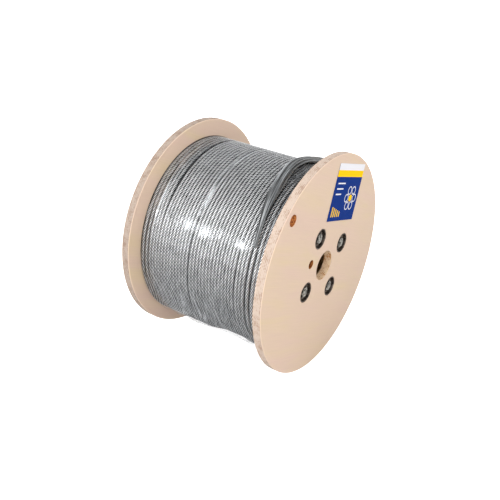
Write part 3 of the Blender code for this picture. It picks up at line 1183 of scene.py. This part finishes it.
class REEL_OT_rope(bpy.types.Operator):
    """Winds the rope's outer layer and makes the layers below it"""

    bl_idname = "reel.rope"
    bl_label = "Rope"

    def execute(self, context):
        sizes = context.scene.rope_sizes
        self.make_inner_layers(sizes)
        material = rope_material(sizes)
        outline = self.outline(sizes)
        for number, (start, stop) in enumerate(ROPE_PIECES, 1):
            rope = self.wind(sizes, outline, start, stop, f"rope_turns_{number}")
            keep(rope, "rope_wire", ["wire_rope_winding"], material, sharp=math.pi)
        bpy.data.objects.remove(outline)
        return {"FINISHED"}

    def outline(self, sizes):
        """The rope's section: a circle for each strand, each touching the next."""
        strand = sizes.diameter / 3
        data = bpy.data.curves.new("rope_outline", "CURVE")
        data.dimensions = "2D"
        line = data.splines.new("POLY")
        line.points.add(sizes.strands * len(LOBE_POINTS) - 1)
        points = iter(line.points)
        for lobe in range(sizes.strands):
            turn = Matrix.Rotation(math.tau * lobe / sizes.strands, 2)
            for degrees in LOBE_POINTS:
                angle = math.radians(degrees)
                corner = Vector((1 + math.cos(angle) / 2, math.sin(angle) / 2)) * strand
                next(points).co = (*(turn @ corner), 0, 1)
        line.use_cyclic_u = True
        outline = bpy.data.objects.new("rope_outline", data)
        bpy.context.scene.collection.objects.link(outline)
        return outline

    def travel(self, sizes, turns):
        """Place along the axis after a number of turns, an array."""
        whole = np.floor(turns)
        share = turns - whole
        crossing = smoothstep(1 - CROSSING_SHARE, 1.0, share)
        angle = np.mod(FIRST_ANGLE + turns * math.tau, math.tau)
        push = smoothstep(*PUSH_RISE, angle) * (1 - smoothstep(*PUSH_FALL, angle))
        start = -INNER_FACE + START_GAP + sizes.diameter / 2
        along = start + sizes.pitch * (np.maximum(whole, 0) + crossing * (turns >= 0))
        for turn, width in ALWAYS_OPEN:
            along += width * ((whole >= turn) + (whole == turn - 1) * crossing)
        for turn, width in OPEN_OVER_TOP:
            along += width * push * (whole >= turn)
        fanned = np.clip(whole - FANNED_TURNS[0], 0, FANNED_TURNS[1] - FANNED_TURNS[0])
        along += sizes.fan * fanned * push
        slack = sum(width for _, width in OPEN_OVER_TOP)
        slack += sizes.fan * (FANNED_TURNS[1] - FANNED_TURNS[0])
        front = sum(width for _, width in OPEN_IN_FRONT)
        # a right gap steps in halfway through the push, where it is closed
        halfway = (PUSH_RISE[1] + PUSH_FALL[0]) / 2
        middle = np.mod((halfway - FIRST_ANGLE) / math.tau, 1.0)
        for turn, width in OPEN_IN_FRONT:
            along += width * slack / front * (1 - push) * (turns >= turn - 1 + middle)
        return along

    def strands_passed(self, turns):
        """How many strands have passed over the crest after a number of turns, an array."""
        fine = np.linspace(-1, TURNS, 2000)
        marks = np.interp(fine, LAY_TURNS, LAY_MARKS)
        steps = (marks[1:] + marks[:-1]) / 2 * np.diff(fine)
        return np.interp(turns, fine, np.concatenate([[0.0], np.cumsum(steps)]))

    def wind(self, sizes, outline, start, stop, name):
        """A stretch of rope as a curve with the strands' outline, made a mesh."""
        count = round((stop - start) * sizes.steps) + 1
        turns = np.linspace(start, stop, count)
        angle = FIRST_ANGLE + turns * math.tau
        centre = CREST - sizes.diameter / 2
        rise = smoothstep(start, start + START_RISE, turns)
        below = sizes.diameter * START_DEPTH * (1 - rise) * (start < 0)
        lift = UNEVEN * np.array([noise.noise((turn * UNEVEN_RATE, 7.0, 0.0)) for turn in turns])
        along = self.travel(sizes, turns)
        radius = centre - below + lift - INSET + hang(along, angle)
        points = np.stack(
            [along, -radius * np.cos(angle), radius * np.sin(angle), np.ones(count)], 1
        )
        # a helix twists a curve's frame a little on each turn, which is taken off
        twist = sizes.pitch / (math.tau * centre)
        tilt = math.tau * (self.strands_passed(turns) / sizes.strands - turns * twist)
        data = bpy.data.curves.new(name, "CURVE")
        data.dimensions = "3D"
        data.bevel_mode = "OBJECT"
        data.bevel_object = outline
        data.use_fill_caps = True
        data.twist_mode = "MINIMUM"
        line = data.splines.new("POLY")
        line.points.add(count - 1)
        line.points.foreach_set("co", points.ravel())
        line.points.foreach_set("tilt", tilt)
        curve = bpy.data.objects.new(name, data)
        bpy.context.scene.collection.objects.link(curve)
        bpy.context.view_layer.update()
        graph = bpy.context.evaluated_depsgraph_get()
        mesh = bpy.data.meshes.new_from_object(curve.evaluated_get(graph))
        bpy.data.objects.remove(curve)
        self.map_lay(sizes, mesh, turns, tilt, radius)
        shape = bmesh.new()
        shape.from_mesh(mesh)
        bmesh.ops.remove_doubles(shape, verts=shape.verts, dist=MERGE)
        bmesh.ops.recalc_face_normals(shape, faces=shape.faces)
        return new_object(name, shape)

    def map_lay(self, sizes, mesh, turns, tilt, radius):
        """A map round and along the rope in millimetres, and marks for its grooves.

        strand runs from 0 on a strand's crown to 1 between two strands, and valley_shade from 0
        on a turn's crest to 1 in the valley beside it, where shade is painted with grease, and up
        to the shade patches' strength in them.
        """
        around = sizes.strands * len(LOBE_POINTS)
        caps = 2 * around
        corners = np.empty(len(mesh.loops), np.int32)
        mesh.loops.foreach_get("vertex_index", corners)
        ring = np.maximum(corners - caps, 0) // around
        column = (corners - caps) % around
        starts = np.empty(len(mesh.polygons), np.int32)
        totals = np.empty(len(mesh.polygons), np.int32)
        mesh.polygons.foreach_get("loop_start", starts)
        mesh.polygons.foreach_get("loop_total", totals)
        quads = starts[totals == 4][:, None] + np.arange(4)
        wraps = np.ptp(column[quads], axis=1) > around / 2
        seam = quads[wraps]
        column[seam] = np.where(column[seam] == 0, around, column[seam])
        round_it = (column / around * math.tau + tilt[ring]) * sizes.diameter / 2 / MM
        along = turns[ring] * math.tau * CREST / MM
        layer = mesh.uv_layers.new(name="lay")
        layer.data.foreach_set("uv", np.stack([round_it, along], 1).astype(np.float32).ravel())
        place = np.arange(len(mesh.vertices))
        points = np.empty(3 * len(mesh.vertices), np.float32)
        mesh.vertices.foreach_get("co", points)
        out = np.hypot(points[1::3], points[2::3])
        reach = (out - radius[np.maximum(place - caps, 0) // around]) / (sizes.diameter / 2)
        degrees = np.mod(np.degrees(np.arctan2(points[2::3], -points[1::3])) + 90, 360) - 90
        shows = np.interp(degrees, VALLEY_ANGLES, VALLEY_SHOWS)
        # painted shade: darker patches on the rope, the strongest in the shadow of the film's gathered end
        mottle_and_shade = patches(SHADE_PATCHES, points[0::3], degrees)
        marks = {
            "strand": np.array(LOBE_DEPTHS)[(place % around) % len(LOBE_POINTS)],
            "valley_shade": np.maximum((1 - smoothstep(*VALLEY_DEPTH, reach)) * shows, mottle_and_shade),
        }
        for kind, values in marks.items():
            mark = mesh.attributes.new(kind, "FLOAT", "POINT")
            mark.data.foreach_set("value", values.astype(np.float32))

    def make_inner_layers(self, sizes):
        """What shows between the outer turns: the layer below, with a crest for each turn."""
        crest = CREST - sizes.diameter * LAYER_STEP
        end = INNER_FACE - FIT
        turns = TURNS + 1
        pitch = 2 * end / turns
        radius = pitch / 2
        section = []
        for turn in range(turns):
            middle = -end + (turn + 0.5) * pitch
            for degrees in (-80, -45, 0, 45, 80):
                angle = math.radians(degrees)
                section.append(
                    (crest - radius + radius * math.cos(angle), middle + radius * math.sin(angle))
                )
        section += [(BARREL_OUTER + FIT, end), (BARREL_OUTER + FIT, -end)]
        layers = new_object("rope_inner_layers", turned(section, 90))
        keep(layers, "rope_wire", ["wire_rope_winding"], inner_rope_material())


class REEL_OT_film(bpy.types.Operator):
    """Wraps the winding in stretch film that sags below it"""

    bl_idname = "reel.film"
    bl_label = "Film"

    around = 400
    along = 88
    # the sag's middle and spread, in degrees
    sag_middle = -72
    sag_spread = 38

    def execute(self, context):
        sizes = context.scene.film_sizes
        section = [
            (CREST, -FILM_END + 2 * FILM_END * i / self.along) for i in range(self.along + 1)
        ]
        shape = bmesh.new()
        points = [shape.verts.new((x, 0, radius)) for radius, x in section]
        lines = [shape.edges.new(pair) for pair in zip(points, points[1:])]
        bmesh.ops.spin(
            shape,
            geom=points + lines,
            cent=(0, 0, 0),
            axis=(1, 0, 0),
            angle=math.tau,
            steps=self.around,
            use_merge=True,
        )
        bmesh.ops.recalc_face_normals(shape, faces=shape.faces)
        for point in shape.verts:
            angle = math.atan2(point.co.z, -point.co.y)
            radius = self.height(sizes, point.co.x, angle)
            point.co.y = -radius * math.cos(angle)
            point.co.z = radius * math.sin(angle)
        film = new_object("stretch_film_wrap", shape)
        self.mark_haze_and_glints(film.data)
        wall = film.modifiers.new("wall", "SOLIDIFY")
        wall.thickness = sizes.thickness
        wall.offset = 0
        keep(film, "film", ["stretch_film"], film_material(sizes), sharp=math.pi)
        return {"FINISHED"}

    def mark_haze_and_glints(self, mesh):
        """Marks where the film is stretched white or folded over, and where glints of the light are
        painted, as an attribute.
        """
        points = np.empty(3 * len(mesh.vertices), np.float32)
        mesh.vertices.foreach_get("co", points)
        degrees = np.degrees(np.arctan2(points[2::3], -points[1::3]))
        share = patches(HAZE_AND_GLINT_PATCHES, points[0::3], degrees)
        share = np.maximum(share, FOLD_HAZE * fold_share(points[0::3], degrees))
        haze_and_glints = mesh.attributes.new("haze_and_glints", "FLOAT", "POINT")
        haze_and_glints.data.foreach_set("value", share.astype(np.float32))

    def height(self, sizes, along, angle):
        """The film's distance from the axis: tight on the crests, loose below the reel."""
        down = math.exp(-(((math.degrees(angle) - self.sag_middle) / self.sag_spread) ** 2))
        loose = smoothstep(-0.10, 0.10, along) * 0.75 + 0.25
        near_flange = 1 - smoothstep(0.112, 0.121, abs(along))
        sag = sizes.sag * down * float(loose) * (0.35 + 0.65 * float(near_flange))
        place = Vector((along * 26, math.cos(angle) * 2.2, math.sin(angle) * 2.2))
        crease = 1 - abs(noise.noise(place + Vector((0, 0, along * 9)))) * 2
        ridge = max(0.0, crease - 0.55) * (0.8 + 6.0 * down)
        ripple = noise.noise(place * 2.7) * (0.12 + 1.6 * down)
        loose_turns = float(hang(along, angle))
        return CREST + sizes.clearance + loose_turns + sag + (ridge * 1.1 + max(ripple, -0.15)) * MM


class REEL_OT_film_tail(bpy.types.Operator):
    """Lays the film's gathered end over the winding"""

    bl_idname = "reel.film_tail"
    bl_label = "Film tail"

    around = 40
    steps_per_point = 8
    # folds in its outline: how many, their turn along it in radians, and their depth
    folds = ((5, 7, 0.17), (9, -11, 0.10))
    lift = 0.2 * MM

    def execute(self, context):
        sizes = context.scene.film_sizes
        route = [Vector((along, math.radians(angle))) for along, angle in TAIL_ROUTE]
        count = (len(route) - 1) * self.steps_per_point + 1
        shape = bmesh.new()
        layer = shape.loops.layers.uv.new("lay")
        rings = []
        for i in range(count):
            place = route_point(route, i / self.steps_per_point)
            rings.append(self.ring(shape, sizes, place, i / (count - 1)))
        where = {}
        for i, ring in enumerate(rings):
            for j, point in enumerate(ring):
                where[point] = (j / self.around, i / (count - 1))
        for ring, following in zip(rings, rings[1:]):
            sides = [pair for loop in (ring, following) for pair in zip(loop, loop[1:] + loop[:1])]
            bmesh.ops.bridge_loops(shape, edges=[shape.edges.get(pair) for pair in sides])
        for ring in (rings[0], rings[-1]):
            shape.faces.new(ring)
        bmesh.ops.recalc_face_normals(shape, faces=shape.faces)
        for face in shape.faces:
            wraps = any(where[loop.vert][0] > 0.75 for loop in face.loops)
            for loop in face.loops:
                u, v = where[loop.vert]
                loop[layer].uv = (1.0 if wraps and u == 0 else u, v)
        tail = new_object("film_gathered_end", shape)
        keep(tail, "film", ["stretch_film"], tail_material(sizes), sharp=math.pi)
        return {"FINISHED"}

    def ring(self, shape, sizes, place, share):
        """One closed outline of the bunch, folded and slightly turned from the last."""
        along, angle = place
        thin = 1 - 0.6 * smoothstep(0.55, 1.0, share)
        half_width = sizes.tail_width / 2 * float(thin)
        height = sizes.tail_height * float(1 - 0.75 * smoothstep(0.45, 1.0, share))
        loop = []
        for j in range(self.around):
            turn = math.tau * j / self.around
            fold = 1 + sum(
                depth * math.sin(count * turn + twist * share) for count, twist, depth in self.folds
            )
            side = half_width * math.cos(turn) * fold
            rise = height / 2 * (1 + math.sin(turn) * fold)
            radius = CREST + self.lift + rise
            loop.append(
                shape.verts.new((along + side, -radius * math.cos(angle), radius * math.sin(angle)))
            )
        for a, b in zip(loop, loop[1:] + loop[:1]):
            shape.edges.new((a, b))
        return loop


def route_point(points, place):
    """A Catmull-Rom point on a route; place counts route points from its start."""
    index = min(int(place), len(points) - 2)
    t = place - index
    before = points[max(index - 1, 0)]
    start, stop = points[index], points[index + 1]
    after = points[min(index + 2, len(points) - 1)]
    return (
        start
        + (stop - before) * (t / 2)
        + (before * 2 - start * 5 + stop * 4 - after) * (t * t / 2)
        + (start * 3 - before - stop * 3 + after) * (t**3 / 2)
    )


class REEL_OT_fittings(bpy.types.Operator):
    """Makes the cup washers, nuts and through bolts"""

    bl_idname = "reel.fittings"
    bl_label = "Fittings"

    round_sides = 64
    thread_sides = 48
    thread_depth = 0.6 * MM
    thread_gap = 0.1 * MM
    thread_below_nut = 12 * MM
    tip = 0.5 * MM
    nut_flare = 1.0 * MM
    head_height = 6 * MM
    chamfer_angle = math.radians(32)
    # a hexagon's chamfer, as shares of half its flats and of its corner's radius
    chamfer_inner = 0.96
    chamfer_outer = 1.02

    def execute(self, context):
        sizes = context.scene.fitting_sizes
        black = steel_material("blackened_pressed_steel", sizes.black, 0.3, 0.9, 0.6)
        zinc = steel_material("zinc_plated_steel", sizes.zinc, 0.2, 0.95, 0.85)
        for number in BOLT_NUMBERS:
            for end, side in (("near", 1), ("far", -1)):
                self.make_cup(sizes, f"cup_washer_{end}_{number}", side, black)
            self.make_nut(sizes, number, zinc)
            self.make_bolt(sizes, number, zinc)
        return {"FINISHED"}

    def make_cup(self, sizes, node, side, material):
        low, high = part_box(node)
        middle = (low + high) / 2
        outer = (high.z - low.z) / 2
        deep = high.x - low.x
        face = max(abs(low.x), abs(high.x))
        sheet = sizes.sheet
        floor = face - deep
        hole = sizes.bolt / 2 + FIT
        section = [(outer, floor + sheet), (outer - sheet, floor), (hole, floor), (hole, floor + sheet)]
        bend = 1.6 * sheet
        section += arc((outer - sheet - bend, floor + sheet + bend), bend, -90, 0, 6)
        section += arc((outer - sheet / 2, face - sheet / 2), sheet / 2, 180, 0, 6)
        shape = turned([(radius, side * x) for radius, x in section], self.round_sides)
        cup = new_object(f"pressed_{node}", moved(shape, middle.y, middle.z))
        keep(cup, "dark_steel", [node], material)

    def hexagon(self, sizes, low, high, angle):
        """A hexagon with both faces chamfered round its corners."""
        corner = sizes.flats / 2 / math.cos(math.pi / 6)
        piece = new_object("hexagon", prism(6, corner, low, high, math.pi / 6 + angle))
        shoulder = (corner - sizes.flats / 2) * math.tan(self.chamfer_angle)
        inner = sizes.flats / 2 * self.chamfer_inner
        outer = corner * self.chamfer_outer
        section = [
            (0, low - MM),
            (inner, low - MM),
            (inner, low),
            (outer, low + shoulder),
            (outer, high - shoulder),
            (inner, high),
            (inner, high + MM),
            (0, high + MM),
        ]
        boolean(piece, [turned(section, self.round_sides, closed=False)], "INTERSECT")
        return piece

    def shift(self, piece, y, z):
        piece.data.transform(Matrix.Translation((0, y, z)))

    def make_nut(self, sizes, number, material):
        node = f"hex_nut_{number}"
        low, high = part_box(node)
        middle = (low + high) / 2
        angle = math.atan2(middle.z, middle.y)
        nut = self.hexagon(sizes, low.x, high.x, angle)
        nut.name = f"plated_{node}"
        hole = sizes.bolt / 2 + self.thread_gap
        mouth = hole + self.nut_flare
        section = [
            (0, low.x - MM),
            (mouth, low.x - MM),
            (mouth, low.x),
            (hole, low.x + self.nut_flare),
            (hole, high.x - self.nut_flare),
            (mouth, high.x),
            (mouth, high.x + MM),
            (0, high.x + MM),
        ]
        boolean(nut, [turned(section, self.thread_sides, closed=False)])
        self.shift(nut, middle.y, middle.z)
        keep(nut, "zinc_steel", [node], material)

    def make_bolt(self, sizes, number, material):
        node = f"through_bolt_{number}"
        low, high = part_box(node)
        middle = (low + high) / 2
        angle = math.atan2(middle.z, middle.y)
        thread_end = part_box(f"hex_nut_{number}")[0].x - self.thread_below_nut
        radius = sizes.bolt / 2
        root = radius - self.thread_depth
        head = low.x + self.head_height
        section = [(0, high.x), (root - self.tip, high.x)]
        place = high.x - self.tip
        while place > thread_end:
            section += [(root, place), (radius, place - sizes.thread / 2)]
            place -= sizes.thread
        section += [(radius, place), (radius, head), (0, head)]
        shank = new_object("shank", turned(section, self.thread_sides, closed=False))
        top = self.hexagon(sizes, low.x, head, angle)
        bolt = new_object(f"plated_{node}", joined(shank, top))
        self.shift(bolt, middle.y, middle.z)
        keep(bolt, "zinc_steel", [node], material)


def joined(*pieces):
    """One bmesh of several objects, which are removed."""
    shape = bmesh.new()
    for piece in pieces:
        shape.from_mesh(piece.data)
        bpy.data.objects.remove(piece)
    return shape


class REEL_OT_label(bpy.types.Operator):
    """Gives the paper label on the near flange its printed material"""

    bl_idname = "reel.label"
    bl_label = "Label"

    def execute(self, context):
        sizes = context.scene.label_sizes
        centre = (LABEL_LOW + LABEL_HIGH) / 2
        dress("paper_label", label_material(sizes, centre))
        return {"FINISHED"}


class REEL_PT_panel(bpy.types.Panel):
    """Lists the reel's sizes, colours and building steps"""

    bl_idname = "REEL_PT_panel"
    bl_label = "Wire rope reel"
    bl_space_type = "VIEW_3D"
    bl_region_type = "UI"
    bl_category = "Reel"

    def draw(self, context):
        for group in PROPERTY_GROUPS:
            box = self.layout.box()
            settings = getattr(context.scene, group)
            for name in settings.bl_rna.properties.keys():
                if name not in ("rna_type", "name"):
                    box.prop(settings, name)
        for step in STEPS:
            self.layout.operator(step.bl_idname)


PROPERTY_GROUPS = {
    "reel_sizes": ReelSizes,
    "rope_sizes": RopeSizes,
    "film_sizes": FilmSizes,
    "fitting_sizes": FittingSizes,
    "label_sizes": LabelSizes,
}
STEPS = (
    REEL_OT_stage,
    REEL_OT_flanges,
    REEL_OT_barrel,
    REEL_OT_rope,
    REEL_OT_film,
    REEL_OT_film_tail,
    REEL_OT_fittings,
    REEL_OT_label,
)


def register():
    for each in (*PROPERTY_GROUPS.values(), *STEPS, REEL_PT_panel):
        bpy.utils.register_class(each)
    for name, group in PROPERTY_GROUPS.items():
        setattr(bpy.types.Scene, name, PointerProperty(type=group))


def unregister():
    for name in PROPERTY_GROUPS:
        delattr(bpy.types.Scene, name)
    for each in reversed((*PROPERTY_GROUPS.values(), *STEPS, REEL_PT_panel)):
        bpy.utils.unregister_class(each)


def corners():
    """The shown object's lowest and highest corners as plain lists."""
    return [list(corner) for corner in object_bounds()]


def main():
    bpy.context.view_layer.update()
    register()
    bpy.ops.reel.stage()
    bpy.ops.reel.flanges()
    bpy.ops.reel.barrel()
    bpy.ops.reel.rope()
    bpy.ops.reel.film()
    bpy.ops.reel.film_tail()
    bpy.ops.reel.fittings()
    bpy.ops.reel.label()


if __name__ == "__main__":
    main()
